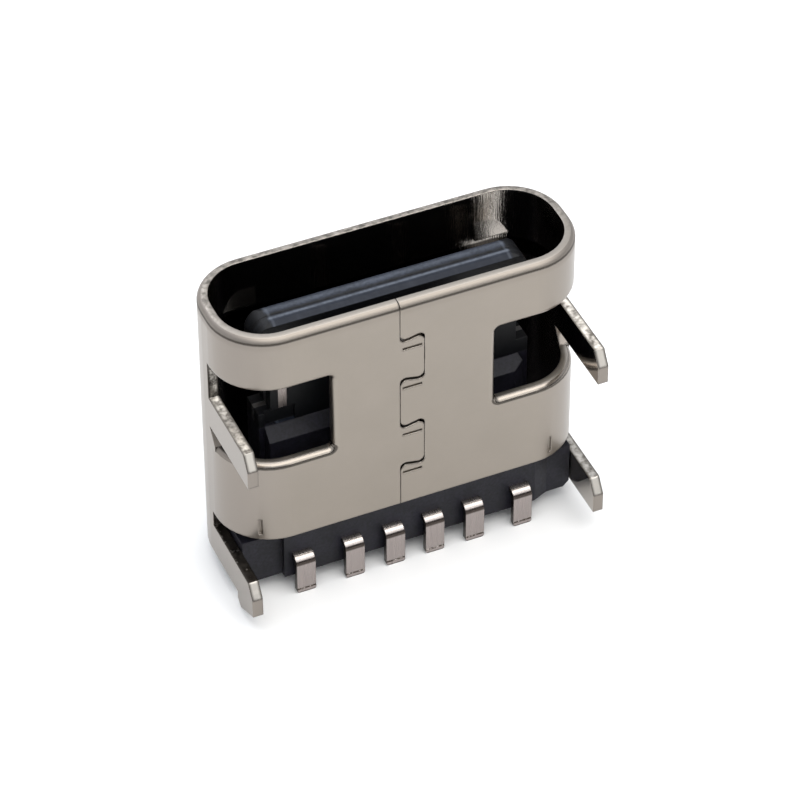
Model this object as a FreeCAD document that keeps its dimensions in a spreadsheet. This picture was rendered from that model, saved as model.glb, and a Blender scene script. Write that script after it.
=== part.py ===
import FreeCAD, Part

# A six-contact board socket with an oval mouth, modelled as its separate pieces:
# a folded sheet-steel shell, a moulded housing, two moulded tongue halves, a steel
# plate between them and six stamped contacts.
#
# The origin is the centre of the mouth. +Z points out of the mouth along the plug's
# way, +X is the right of the mouth and -Y faces the circuit board. Millimetres.

import itertools
import os
import re

import Sketcher

DOC = FreeCAD.newDocument("socket")
SHEET = DOC.addObject("Spreadsheet::Sheet", "Sizes")

SIZES = [
    ("opening_width", 8.34, "clear width of the mouth"),
    ("opening_height", 2.56, "clear height of the mouth"),
    ("side_flat", 0.36, "straight part of a side of the mouth between its round corners"),
    ("sheet_gauge", 0.25, "thickness of the shell's steel"),
    ("rim_round", 0.18, "rounding of the mouth's outer edge"),
    ("shell_length", 7.29, "mouth to the rear edge of the top and side walls"),
    ("seam_wall_length", 5.98, "mouth to the rear edge of the board-side wall"),
    ("rear_slit_rise", 1.50, "board face up to the slit beside a rear leg"),
    ("window_inner", 1.99, "centre line to the near edge of a window"),
    ("window_front", 1.53, "mouth to the front edge of a window"),
    ("window_length", 2.18, "length of a window along the socket"),
    ("window_rise", 1.45, "board face up to the top of a window"),
    ("window_round", 0.13, "corner radius of a window"),
    ("window_rim", 0.15, "rounding of a window's outer edge"),
    ("leg_reach", 0.84, "board face to the tip of a leg"),
    ("leg_root_slope", 0.28, "rise of the slope behind the root of a front leg"),
    ("front_leg_front", 2.46, "mouth to the front edge of a front leg"),
    ("front_leg_width", 0.84, "width of a front leg"),
    ("rear_leg_width", 0.87, "width of a rear leg"),
    ("leg_tip_drop", 0.24, "height of the cut corner at a leg's tip"),
    ("leg_tip_run", 0.36, "length of the cut corner at a leg's tip"),
    ("spur_above", 0.11, "board face up to the spur left on the left rear leg"),
    ("spur_below", 0.06, "board face down to the knee of that spur"),
    ("spur_step", 0.20, "how far the spur steps back from the leg"),
    ("spur_drop", 0.36, "how far the spur's knee stands back from the leg"),
    ("seam_offset", 0.371, "centre line to the seam"),
    ("seam_gap", 0.02, "width of the seam along the socket"),
    ("tab_gap", 0.085, "width of the seam along a tab's sides"),
    ("tab_reach", 0.595, "seam to the end of a dovetail tab"),
    ("tab_first", 0.98, "mouth to the first tab's head"),
    ("tab_pitch", 2.57, "first tab to second tab"),
    ("tab_head", 1.34, "width of a tab at its head"),
    ("tab_flare", 0.13, "how far a tab narrows on each side to its neck"),
    ("tab_round", 0.14, "corner radius of a tab"),
    ("coin_inside", 0.34, "tab's front edge to the coined line on the tab"),
    ("coin_outside", 0.16, "tab's rear edge to the coined line behind it"),
    ("coin_length", 0.48, "length of a coined line"),
    ("coin_width", 0.065, "width of a coined line"),
    ("coin_depth", 0.08, "depth of a coined line"),
    ("stake_left", 0.66, "left side of the shell to the dent that stakes the housing"),
    ("stake_left_sink", 0.26, "board face to the bottom of the left dent"),
    ("stake_right", 0.99, "right side of the shell to its dent"),
    ("stake_right_sink", 0.12, "board face to the bottom of the right dent"),
    ("stake_front", 5.38, "mouth to the front end of a dent"),
    ("stake_length", 0.46, "length of a dent"),
    ("stake_width", 0.08, "width of a dent"),
    ("dimple_inner", 2.70, "centre line to the near side of a pressed dimple"),
    ("dimple_front", 0.80, "mouth to the front of a pressed dimple"),
    ("dimple_length", 0.46, "length of a pressed dimple"),
    ("dimple_width", 0.95, "width of a pressed dimple"),
    ("dimple_depth", 0.10, "how far the rear edge of a dimple stands into the mouth"),
    ("base_front", 6.20, "mouth to the floor of the cavity"),
    ("base_depth", 1.285, "floor of the cavity to the rear face of the housing"),
    ("base_clearance", 0.02, "gap between housing and shell"),
    ("block_half", 3.18, "centre line to the ends of the raised tail block"),
    ("block_slope", 0.38, "length of the slope at the block's right end"),
    ("block_step", 0.16, "height of the tail block's raised face"),
    ("base_corner", 0.15, "cut corner at the housing's lower ends"),
    ("root_length", 2.65, "length of the tongue's thick root in front of the floor"),
    ("root_thickness", 1.30, "thickness of the tongue's root"),
    ("root_bevel", 0.28, "bevel at the front of the tongue's root"),
    ("root_square_end", 3.21, "centre line to the root's end behind an outer contact"),
    ("root_point_high", 3.10, "centre line to the start of the root's pointed end"),
    ("root_point_tip", 3.16, "centre line to the tip of the pointed end"),
    ("root_point_low", 2.90, "centre line to the far corner of the pointed end"),
    ("tongue_width", 6.69, "width of the tongue"),
    ("tongue_thickness", 0.70, "thickness of the tongue"),
    ("tongue_front", 0.61, "mouth to the tongue's end"),
    ("tongue_nose", 0.06, "length of the bevel at the tongue's end"),
    ("tongue_nose_drop", 0.14, "depth of the bevel at the tongue's end"),
    ("tongue_corner", 0.46, "corner radius of the tongue's end"),
    ("parting_groove", 0.03, "groove where the two tongue halves meet"),
    ("recess_length", 0.43, "length of the recess before the root at an outer contact's foot"),
    ("recess_inner", 2.46, "centre line to the near side of that recess"),
    ("recess_width", 0.74, "width of that recess"),
    ("recess_depth", 0.09, "depth of that recess"),
    ("tenon_half", 2.98, "centre line to the side of a half inside the housing"),
    ("tenon_depth", 0.25, "how deep a tongue half goes into the floor"),
    ("plate_gauge", 0.15, "thickness of the middle plate"),
    ("plate_front", 0.80, "mouth to the plate's front edge"),
    ("plate_gap", 0.15, "floor to the plate's rear edge"),
    ("latch_ahead", 0.40, "rear of a latch notch to the root"),
    ("latch_length", 0.95, "length of a latch notch"),
    ("latch_depth", 0.30, "depth of a latch notch"),
    ("strip_gauge", 0.15, "thickness of a contact"),
    ("blade_width", 0.22, "width of a contact on the tongue"),
    ("blade_front", 1.00, "mouth to the front end of a contact"),
    ("dive_ahead", 0.45, "how far before the root a contact dives into the tongue"),
    ("dive_length", 0.10, "length of that dive"),
    ("dive_floor", 0.02, "gap left between the middle plate and a contact below the dive"),
    ("tail_width", 0.47, "width of a solder tail"),
    ("tail_inset", 0.59, "floor to where the contacts turn down to the board"),
    ("tail_reach", 1.06, "that turn to the ends of the solder tails"),
    ("tail_round", 0.06, "corner radius of a tail's end"),
    ("tail_line", 0.12, "a tail's end to the line coined across it"),
    ("tail_line_width", 0.04, "width of the line coined across a tail"),
    ("tail_line_depth", 0.025, "depth of the line coined across a tail"),
    ("bend_inner", 0.08, "inner radius of a contact's bends"),
    ("jog_ahead", 1.10, "how far before the floor a contact starts to widen and shift"),
    ("jog_length", 0.90, "length of that shift"),
    ("outer_seat", 2.75, "centre line to the outer contacts"),
    ("power_blade", 1.25, "centre line to the power contacts on the tongue"),
    ("power_tail", 1.52, "centre line to the power tails"),
    ("sense_blade", 0.75, "centre line to the sensing contacts on the tongue"),
    ("sense_tail", 0.50, "centre line to the sensing tails"),
]

for row, (alias, value, meaning) in enumerate(SIZES, start=1):
    SHEET.set("A%d" % row, meaning)
    SHEET.set("B%d" % row, str(value))
    SHEET.setAlias("B%d" % row, alias)
DOC.recompute()

ALIASES = {alias for alias, _, _ in SIZES}
ALIAS_WORD = re.compile(r"[a-z]+(?:_[a-z]+)+")
CONSTRAINT_NUMBERS = itertools.count(1)

# Places that several pieces share, as formulas of the sizes above.
CORNER = "((opening_height - side_flat) / 2)"
INNER_X = "(opening_width / 2)"
INNER_Y = "(opening_height / 2)"
OUTER_X = "(opening_width / 2 + sheet_gauge)"
OUTER_Y = "(opening_height / 2 + sheet_gauge)"
ROOT_Y = "(root_thickness / 2)"
TONGUE_X = "(tongue_width / 2)"
TONGUE_Y = "(tongue_thickness / 2)"
LATCH_X = "(tongue_width / 2 - latch_depth)"
ROOT_FRONT = "(base_front - root_length)"
LATCH_REAR = "(%s - latch_ahead)" % ROOT_FRONT
LATCH_FRONT = "(%s - latch_length)" % LATCH_REAR
BASE_REAR = "(base_front + base_depth)"
TAIL_EXIT = "(base_front + tail_inset)"
TAIL_END = "(%s + tail_reach)" % TAIL_EXIT
WINDOW_REAR = "-(window_front + window_length)"
BEND_OUTER = "bend_inner + strip_gauge"

# How far a cutting sketch runs past the solid that it cuts.
BEYOND = "3"

# How near two places are taken to be the same.
NEAR = 1e-4


def formula(text):
    """The formula with each size's alias written as a cell of the sheet."""
    return ALIAS_WORD.sub(lambda m: "Sizes." + m.group() if m.group() in ALIASES else m.group(), text)


def number(text):
    """The present value of a formula."""
    return float(SHEET.evalExpression(formula(text)))


def bind(thing, name, text):
    """Ties a property of an object to the sheet."""
    thing.setExpression(name, formula(text))


def hold(sketch, kind, items, text):
    """Adds a constraint whose value follows the sheet."""
    name = "size_%d" % next(CONSTRAINT_NUMBERS)
    index = sketch.addConstraint(Sketcher.Constraint(kind, *items, number(text)))
    sketch.renameConstraint(index, name)
    bind(sketch, "Constraints." + name, text)


def hold_point(sketch, point, x, y):
    """Holds a point at x, y from the sketch's origin."""
    for kind, text in (("DistanceX", x), ("DistanceY", y)):
        if number(text) < 0:
            hold(sketch, kind, (*point, -1, 1), "-(%s)" % text)
        else:
            hold(sketch, kind, (-1, 1, *point), text)


def outline(sketch, corners):
    """A closed polygon through corners (x, y) or (x, y, radius), each held by formulas."""
    places = [FreeCAD.Vector(number(c[0]), number(c[1]), 0) for c in corners]
    count = len(corners)
    first = sketch.GeometryCount
    for i in range(count):
        sketch.addGeometry(Part.LineSegment(places[i], places[(i + 1) % count]), False)
    for i in range(count):
        after = first + (i + 1) % count
        sketch.addConstraint(Sketcher.Constraint("Coincident", first + i, 2, after, 1))
    for i in range(count):
        hold_point(sketch, (first + i, 1), corners[i][0], corners[i][1])
    for i in range(count):
        if len(corners[i]) == 3:
            arc = sketch.GeometryCount
            sketch.fillet(first + i, 1, number(corners[i][2]), True, True)
            hold(sketch, "Radius", (arc,), corners[i][2])


def rectangle(sketch, left, low, right, high, *radius):
    """A rectangle between two corners, with equal round corners where a radius is given."""
    outline(sketch, [
        (left, low, *radius),
        (right, low, *radius),
        (right, high, *radius),
        (left, high, *radius),
    ])


def both_sides(corners):
    """Corners of the right-hand side, followed by their copies left of the centre line."""
    return corners + [("-(%s)" % corner[0], *corner[1:]) for corner in corners[::-1]]


def body_sketch(body, name, plane, offset=None):
    """A sketch on one of the body's own planes, moved along its normal by a formula."""
    sketch = body.newObject("Sketcher::SketchObject", name)
    origin = next(f for f in body.Origin.OriginFeatures if f.Role == plane)
    sketch.AttachmentSupport = (origin, "")
    sketch.MapMode = "FlatFace"
    if offset:
        bind(sketch, "AttachmentOffset.Base.z", offset)
    return sketch


def loose_sketch(name, plane):
    """A sketch that belongs to no body, in the side (YZ) or the plan (XZ) plane."""
    x, y, z = FreeCAD.Vector(1, 0, 0), FreeCAD.Vector(0, 1, 0), FreeCAD.Vector(0, 0, 1)
    axes = {"YZ": (y, z, x), "XZ": (x, z, -y)}[plane]
    sketch = DOC.addObject("Sketcher::SketchObject", name)
    sketch.Placement = FreeCAD.Placement(FreeCAD.Vector(), FreeCAD.Rotation(*axes, "XYZ"))
    return sketch


def feature(body, kind, name, sketch, length, reverse=False, midplane=False):
    """A pad or a pocket of a sketch, with its length tied to the sheet."""
    made = body.newObject("PartDesign::" + kind, name)
    made.Profile = sketch
    made.Reversed = reverse
    made.Midplane = midplane
    bind(made, "Length", length)
    DOC.recompute()
    return made


def mirrored(body, name, features):
    """Copies features to the other side of the centre line."""
    made = body.newObject("PartDesign::Mirrored", name)
    made.Originals = features
    plane = next(f for f in body.Origin.OriginFeatures if f.Role == "YZ_Plane")
    made.MirrorPlane = (plane, [""])
    body.Tip = made
    DOC.recompute()
    return made


def extruded(name, sketch, length):
    """A loose sketch drawn out to both sides of its plane."""
    made = DOC.addObject("Part::Extrusion", name)
    made.Base = sketch
    made.DirMode = "Normal"
    made.Solid = True
    made.Symmetric = True
    bind(made, "LengthFwd", length)
    return made


def on_outside(point):
    """True for a point on the shell's outer surface."""
    x = abs(point.x) - number("%s - %s - sheet_gauge" % (OUTER_X, CORNER))
    y = abs(point.y) - number("%s - %s - sheet_gauge" % (OUTER_Y, CORNER))
    reach = number(CORNER + " + sheet_gauge")
    if x > 0 and y > 0:
        return abs((x * x + y * y) ** 0.5 - reach) < NEAR
    return abs(max(x, y) - reach) < NEAR


def rounded(body, name, base, radius, chosen):
    """Rounds the edges on the shell's outer surface whose middles pass a test."""
    names = []
    for index, edge in enumerate(base.Shape.Edges, start=1):
        middle = edge.valueAt((edge.FirstParameter + edge.LastParameter) / 2)
        ends = [vertex.Point for vertex in edge.Vertexes]
        if all(on_outside(point) for point in [middle] + ends) and chosen(middle):
            names.append("Edge%d" % index)
    made = body.newObject("PartDesign::Fillet", name)
    made.Base = (base, names)
    bind(made, "Radius", radius)
    DOC.recompute()
    return made


def seam_side(sign):
    """Corners of one edge of the seam, half a gap to one side of its middle line.

    Each corner of the middle line has the two directions in which that edge moves away
    from it, so that the gap keeps its width round the dovetail tabs.
    """
    seam = "-seam_offset"
    head = "tab_reach - seam_offset"
    path = [(seam, BEYOND, 1, 1)]
    for shift in ("0", "tab_pitch"):
        front = "-(tab_first + %s)" % shift
        rear = "-(tab_first + %s + tab_head)" % shift
        path += [
            (seam, front + " - tab_flare", 1, 1),
            (head, front, 1, 1),
            (head, rear, 1, -1),
            (seam, rear + " + tab_flare", 1, -1),
        ]
    path.append((seam, "-(seam_wall_length + %s)" % BEYOND, 1, -1))
    corners = []
    for x, z, way_x, way_z in path:
        step_x = "+" if sign * way_x > 0 else "-"
        step_z = "+" if sign * way_z > 0 else "-"
        corners.append((x + step_x + " seam_gap / 2", z + step_z + " tab_gap / 2", "tab_round"))
    corners[0] = corners[0][:2]
    corners[-1] = corners[-1][:2]
    return corners


def cut_seam(body):
    """The dovetail seam in the board-side wall, and the lines coined beside its crossings."""
    seam = body_sketch(body, "seam_line", "XZ_Plane", INNER_Y)
    outline(seam, seam_side(1) + seam_side(-1)[::-1])
    feature(body, "Pocket", "seam", seam, "2 * sheet_gauge", reverse=True)

    coins = body_sketch(body, "coin_lines", "XZ_Plane", OUTER_Y)
    middle = "tab_reach / 2 - seam_offset"
    for shift in ("0", "tab_pitch"):
        for behind in ("coin_inside", "tab_head + coin_outside"):
            z = "-(tab_first + %s + %s)" % (shift, behind)
            rectangle(coins, middle + " - coin_length / 2", z + " - coin_width / 2",
                      middle + " + coin_length / 2", z + " + coin_width / 2")
    feature(body, "Pocket", "coined_lines", coins, "coin_depth")


def cut_windows(body):
    """The two windows, each from the board-side wall round the corner into a side wall."""
    fronts = body_sketch(body, "window_fronts", "XZ_Plane", "%s - window_rise" % OUTER_Y)
    for side in ("", "-"):
        near_edge = side + "window_inner"
        far_edge = "%s(opening_width / 2 + %s)" % (side, BEYOND)
        outline(fronts, [
            (near_edge, "-window_front", "window_round"),
            (far_edge, "-window_front"),
            (far_edge, WINDOW_REAR),
            (near_edge, WINDOW_REAR, "window_round"),
        ])
    cut = feature(body, "Pocket", "windows", fronts, "opening_height + " + BEYOND, reverse=True)

    top = number("window_rise - " + OUTER_Y)
    front = number("-window_front")
    rear = number(WINDOW_REAR)

    def is_rim(point):
        return point.y < top - NEAR and rear - NEAR < point.z < front + NEAR

    rounded(body, "window_rims", cut, "window_rim", is_rim)


def add_legs(body):
    """A front and a rear leg that go straight on from each side wall past the board face."""
    sides = body_sketch(body, "leg_sides", "YZ_Plane", INNER_X)
    root = "window_rise - %s + sheet_gauge / 2" % OUTER_Y
    slope_top = "window_rise - " + OUTER_Y
    tip = "-%s - leg_reach" % OUTER_Y
    cut_corner = tip + " + leg_tip_drop"
    front_rear = "-(front_leg_front + front_leg_width)"
    outline(sides, [
        (root, "-front_leg_front"),
        (cut_corner, "-front_leg_front"),
        (tip, "-front_leg_front - leg_tip_run"),
        (tip, front_rear),
        (slope_top, front_rear),
        (slope_top + " - leg_root_slope", WINDOW_REAR),
        (slope_top + " - leg_root_slope", WINDOW_REAR + " - window_rim"),
        (root, WINDOW_REAR + " - window_rim"),
    ])
    rear_front = "rear_leg_width - shell_length"
    outline(sides, [
        (root, rear_front),
        (cut_corner, rear_front),
        (tip, rear_front + " - leg_tip_run"),
        (tip, "-shell_length"),
        (root, "-shell_length"),
    ])
    legs = feature(body, "Pad", "right_legs", sides, "sheet_gauge")
    mirrored(body, "all_legs", [legs])

    # The spur at the rear of the left rear leg, where the stamping was parted from its strip.
    board = "-" + OUTER_Y
    spur = body_sketch(body, "spur_side", "YZ_Plane", "-" + OUTER_X)
    outline(spur, [
        (board + " + spur_above", "spur_drop - shell_length"),
        (board + " + spur_above", "-shell_length - spur_step"),
        (board + " - spur_below", "-shell_length - spur_drop"),
        (tip, "-shell_length"),
        (tip, "spur_drop - shell_length"),
    ])
    feature(body, "Pad", "spur", spur, "sheet_gauge")


def press_stakes(body):
    """The dents that stake the housing, one on each rounded corner near the rear edge."""
    for name, side in (("left", "-"), ("right", "")):
        sketch = body_sketch(body, "stake_%s_plan" % name, "XZ_Plane", OUTER_Y)
        middle = "%s(%s - stake_%s)" % (side, OUTER_X, name)
        rectangle(sketch, middle + " - stake_width / 2", "-(stake_front + stake_length)",
                  middle + " + stake_width / 2", "-stake_front")
        feature(body, "Pocket", "stake_%s_dent" % name, sketch, "stake_%s_sink" % name)


def press_dimples(body):
    """Two wedge dimples in the top wall: a recess outside and a bump that rises into the mouth."""
    pressed = []
    rear = "-(dimple_front + dimple_length)"
    for kind, name, wall in (("Pocket", "recess", OUTER_Y), ("Pad", "bump", INNER_Y)):
        sketch = body_sketch(body, "dimple_" + name, "YZ_Plane", "dimple_inner")
        outline(sketch, [
            (wall, "-dimple_front"),
            (wall, rear),
            (wall + " - dimple_depth", rear),
        ])
        pressed.append(feature(body, kind, "pressed_" + name, sketch, "dimple_width",
                               reverse=kind == "Pocket"))
    mirrored(body, "all_dimples", pressed)


def build_shell():
    """The folded sheet-steel shell with its seam, windows, dimples and four legs."""
    body = DOC.addObject("PartDesign::Body", "shell")
    section = body_sketch(body, "shell_section", "XY_Plane")
    rectangle(section, "-" + OUTER_X, "-" + OUTER_Y, OUTER_X, OUTER_Y, CORNER + " + sheet_gauge")
    rectangle(section, "-" + INNER_X, "-" + INNER_Y, INNER_X, INNER_Y, CORNER)
    tube = feature(body, "Pad", "folded_tube", section, "shell_length", reverse=True)
    rounded(body, "rim", tube, "rim_round", lambda point: abs(point.z) < NEAR)

    rear = body_sketch(body, "rear_cut_side", "YZ_Plane")
    rectangle(rear, "-(%s + %s)" % (OUTER_Y, BEYOND), "-(shell_length + %s)" % BEYOND,
              "rear_slit_rise - " + OUTER_Y, "-seam_wall_length")
    feature(body, "Pocket", "rear_cut", rear, "3 * opening_width", midplane=True)

    cut_windows(body)
    add_legs(body)
    cut_seam(body)
    press_stakes(body)
    press_dimples(body)
    return body


def strip_side(name, blade_low, blade_high, run_low, run_high):
    """The bent side view of the contacts with a blade and a hidden run at given heights.

    The blade runs back along the tongue and dives below its surface. The hidden run turns
    towards the board inside the housing, and again into a solder tail that lies on the
    board and has a line coined across it.
    """
    board = "-" + OUTER_Y
    lift = "strip_gauge - " + OUTER_Y
    bend = "-" + TAIL_EXIT
    run_rear = bend + " - strip_gauge"
    end = "-" + TAIL_END
    dive = "dive_ahead - " + ROOT_FRONT
    sketch = loose_sketch(name, "YZ")
    outline(sketch, [
        (blade_low, "-blade_front"),
        (blade_low, dive),
        (run_low, dive + " - dive_length"),
        (run_low, bend, "bend_inner"),
        (board, bend, BEND_OUTER),
        (board, end + " + tail_line + tail_line_width / 2"),
        (board + " + tail_line_depth", end + " + tail_line"),
        (board, end + " + tail_line - tail_line_width / 2"),
        (board, end),
        (lift, end),
        (lift, run_rear, "bend_inner"),
        (run_high, run_rear, BEND_OUTER),
        (run_high, dive + " - dive_length"),
        (blade_high, dive),
        (blade_high, "-blade_front"),
    ])
    return extruded(name + "_drawn", sketch, "2 * opening_width")


def build_contact(name, side_view, side, blade, tail):
    """A stamped contact: the bent side view cut to the strip's plan."""
    sketch = loose_sketch(name + "_plan", "XZ")
    jog_front = "jog_ahead - base_front"
    jog_rear = jog_front + " - jog_length"
    end = "-" + TAIL_END
    outline(sketch, [
        ("%s%s - blade_width / 2" % (side, blade), "-blade_front"),
        ("%s%s - blade_width / 2" % (side, blade), jog_front),
        ("%s%s - tail_width / 2" % (side, tail), jog_rear),
        ("%s%s - tail_width / 2" % (side, tail), end, "tail_round"),
        ("%s%s + tail_width / 2" % (side, tail), end, "tail_round"),
        ("%s%s + tail_width / 2" % (side, tail), jog_rear),
        ("%s%s + blade_width / 2" % (side, blade), jog_front),
        ("%s%s + blade_width / 2" % (side, blade), "-blade_front"),
    ])
    contact = DOC.addObject("Part::Common", name)
    contact.Base = side_view
    contact.Tool = extruded(name + "_plan_drawn", sketch, "3 * opening_height")
    return contact


def tongue_plan(front, rear):
    """Corners of the tongue seen from the board, from a front edge to the tenon's rear end."""
    return both_sides([
        (TONGUE_X, front, "tongue_corner"),
        (TONGUE_X, "-" + LATCH_FRONT),
        (LATCH_X, "-" + LATCH_FRONT),
        (LATCH_X, "-" + LATCH_REAR),
        (TONGUE_X, "-" + LATCH_REAR),
        (TONGUE_X, "-" + ROOT_FRONT),
        ("tenon_half", "-" + ROOT_FRONT),
        ("tenon_half", rear),
    ])


def build_plate():
    """The steel plate between the tongue halves, with a latch notch on each side."""
    body = DOC.addObject("PartDesign::Body", "middle_plate")
    plan = body_sketch(body, "plate_plan", "XZ_Plane")
    outline(plan, tongue_plan("-plate_front", "plate_gap - base_front"))
    feature(body, "Pad", "plate_sheet", plan, "plate_gauge", midplane=True)
    return body


def build_half(name, side):
    """One moulded half of the tongue, before the plate and the contacts are taken out."""
    body = DOC.addObject("PartDesign::Body", name + "_blank")
    plan = body_sketch(body, name + "_plan", "XZ_Plane")
    outline(plan, tongue_plan("-tongue_front", "-(base_front + tenon_depth)"))
    feature(body, "Pad", name + "_slab", plan, TONGUE_Y, reverse=side == "")

    nose = body_sketch(body, name + "_nose_side", "YZ_Plane")
    outline(nose, [
        (side + "(%s - tongue_nose_drop)" % TONGUE_Y, "-tongue_front"),
        (side + TONGUE_Y, "-tongue_front - tongue_nose"),
        (side + "(%s + %s)" % (TONGUE_Y, BEYOND), "-tongue_front - tongue_nose"),
        (side + "(%s + %s)" % (TONGUE_Y, BEYOND), "-tongue_front"),
    ])
    outline(nose, [
        (side + "parting_groove", "-tongue_front"),
        ("0", "-tongue_front - parting_groove"),
        ("0", "-tongue_front"),
    ])
    feature(body, "Pocket", name + "_nose", nose, "2 * tongue_width", midplane=True)

    face = TONGUE_Y if side else "-" + TONGUE_Y
    recess = body_sketch(body, name + "_recess_plan", "XZ_Plane", face)
    rectangle(recess, side + "recess_inner", "-" + ROOT_FRONT,
              "%s(recess_inner + recess_width)" % side, "recess_length - " + ROOT_FRONT)
    feature(body, "Pocket", name + "_recess", recess, "recess_depth", reverse=side == "")
    return body


def build_housing():
    """The moulded base with the tongue's thick root, before its inserts are taken out."""
    body = DOC.addObject("PartDesign::Body", "housing_blank")
    wall_x = "(%s - base_clearance)" % INNER_X
    wall_y = "(%s - base_clearance)" % INNER_Y
    end_y = "-(%s - block_step)" % wall_y
    section = body_sketch(body, "base_section", "XY_Plane", "-base_front")
    outline(section, [
        ("block_half", "-" + wall_y),
        ("block_half + block_slope", end_y),
        (wall_x, end_y),
        (wall_x, wall_y, CORNER + " - base_clearance"),
        ("-" + wall_x, wall_y, CORNER + " - base_clearance"),
        ("-" + wall_x, end_y),
        ("-block_half", end_y),
        ("-block_half", "-" + wall_y),
    ])
    feature(body, "Pad", "base", section, "base_depth", reverse=True)

    corners = body_sketch(body, "base_corner_front", "XZ_Plane")
    for side in ("", "-"):
        outline(corners, [
            (side + wall_x, "base_corner - " + BASE_REAR),
            (side + "(%s - base_corner)" % wall_x, "-" + BASE_REAR),
            (side + wall_x, "-" + BASE_REAR),
        ])
    feature(body, "Pocket", "base_corners", corners, "2 * opening_height", midplane=True)

    # The root is alike after half a turn: square behind the outer contacts, pointed opposite.
    root = body_sketch(body, "root_section", "XY_Plane", "-base_front")
    half_section = [
        ("root_point_low", "-" + ROOT_Y),
        ("root_point_tip", "-(%s + %s) / 2" % (ROOT_Y, TONGUE_Y)),
        ("root_point_high", "-" + TONGUE_Y),
        (TONGUE_X, "-" + TONGUE_Y),
        (TONGUE_X, TONGUE_Y),
        ("root_square_end", TONGUE_Y),
        ("root_square_end", ROOT_Y),
    ]
    outline(root, half_section + [("-(%s)" % x, "-(%s)" % y) for x, y in half_section])
    feature(body, "Pad", "root", root, "root_length")

    bevels = body_sketch(body, "root_bevel_side", "YZ_Plane")
    for side in ("", "-"):
        outline(bevels, [
            (side + TONGUE_Y, "-" + ROOT_FRONT),
            (side + ROOT_Y, "-%s - root_bevel" % ROOT_FRONT),
            (side + ROOT_Y, "-" + ROOT_FRONT),
        ])
    feature(body, "Pocket", "root_bevels", bevels, "2 * tongue_width", midplane=True)
    return body


def moulded_round(name, blank, inserts):
    """A moulding with the space of its inserts taken out."""
    joined = DOC.addObject("Part::MultiFuse", name + "_inserts")
    joined.Shapes = inserts
    made = DOC.addObject("Part::Cut", name)
    made.Base = blank
    made.Tool = joined
    return made


def build_contacts():
    """The three contacts of the upper half and the three of the lower half."""
    seats = {
        "outer": ("outer_seat", "outer_seat"),
        "power": ("power_blade", "power_tail"),
        "sense": ("sense_blade", "sense_tail"),
    }
    near_plate = "(plate_gauge / 2 + dive_floor)"
    upper_side = strip_side("upper_strip", TONGUE_Y + " - strip_gauge", TONGUE_Y,
                            near_plate, near_plate + " + strip_gauge")
    lower_side = strip_side("lower_strip", "-" + TONGUE_Y, "strip_gauge - " + TONGUE_Y,
                            "-(%s + strip_gauge)" % near_plate, "-" + near_plate)
    upper = [
        build_contact(name, upper_side, side, *seats[seat])
        for name, side, seat in (("contact_a5", "-", "sense"), ("contact_a9", "", "power"),
                                 ("contact_a12", "", "outer"))
    ]
    lower = [
        build_contact(name, lower_side, side, *seats[seat])
        for name, side, seat in (("contact_b5", "", "sense"), ("contact_b9", "-", "power"),
                                 ("contact_b12", "-", "outer"))
    ]
    return upper, lower


def write_pieces(pieces):
    """Checks every object and writes each piece to a file of its own name."""
    for thing in DOC.Objects:
        if "Invalid" in thing.State or "Error" in thing.State:
            raise RuntimeError("%s did not build: %s" % (thing.Name, thing.State))
    os.makedirs("parts", exist_ok=True)
    for piece in pieces:
        piece.Label = piece.Name
        if piece.Shape.isNull() or not piece.Shape.isValid():
            raise RuntimeError("%s has no valid shape" % piece.Label)
        piece.Shape.exportStep("parts/%s.step" % piece.Label)
        print(piece.Label, len(piece.Shape.Solids), "solid", round(piece.Shape.Volume, 4), "mm3")


def main():
    shell = build_shell()
    upper, lower = build_contacts()
    plate = build_plate()
    upper_blank = build_half("upper_half", "")
    lower_blank = build_half("lower_half", "-")
    upper_half = moulded_round("tongue_upper_half", upper_blank, [plate] + upper)
    lower_half = moulded_round("tongue_lower_half", lower_blank, [plate] + lower)
    inserts = [upper_blank, lower_blank] + upper + lower
    housing = moulded_round("housing", build_housing(), inserts)
    DOC.recompute()
    write_pieces([shell, housing, upper_half, lower_half, plate] + upper + lower)


main()
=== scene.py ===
import math

import bpy
import numpy as np
from bpy.props import FloatProperty, FloatVectorProperty, PointerProperty
from mathutils import Matrix, Vector


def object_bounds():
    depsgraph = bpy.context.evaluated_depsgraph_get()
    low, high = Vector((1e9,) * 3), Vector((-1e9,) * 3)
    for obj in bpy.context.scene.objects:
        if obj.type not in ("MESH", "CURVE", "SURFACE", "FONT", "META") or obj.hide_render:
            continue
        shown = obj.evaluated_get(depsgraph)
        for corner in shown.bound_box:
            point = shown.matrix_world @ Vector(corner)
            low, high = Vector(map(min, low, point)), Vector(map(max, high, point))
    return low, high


bl_info = {
    "name": "Board socket looks",
    "version": (1, 0, 0),
    "blender": (4, 5, 0),
    "location": "3D View > Sidebar > Socket",
    "description": "Finishes, stage, light and camera for a board socket with an oval mouth",
    "category": "Object",
}

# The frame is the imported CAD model: +Z out of the mouth, +X right, -Y towards the board.
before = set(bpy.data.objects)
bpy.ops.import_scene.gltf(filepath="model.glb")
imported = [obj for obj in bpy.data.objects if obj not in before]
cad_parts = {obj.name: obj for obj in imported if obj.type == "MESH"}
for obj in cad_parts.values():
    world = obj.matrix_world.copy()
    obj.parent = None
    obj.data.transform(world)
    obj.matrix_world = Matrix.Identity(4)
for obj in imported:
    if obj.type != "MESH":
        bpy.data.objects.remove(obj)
CAD_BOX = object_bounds()
MM = 0.001

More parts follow.
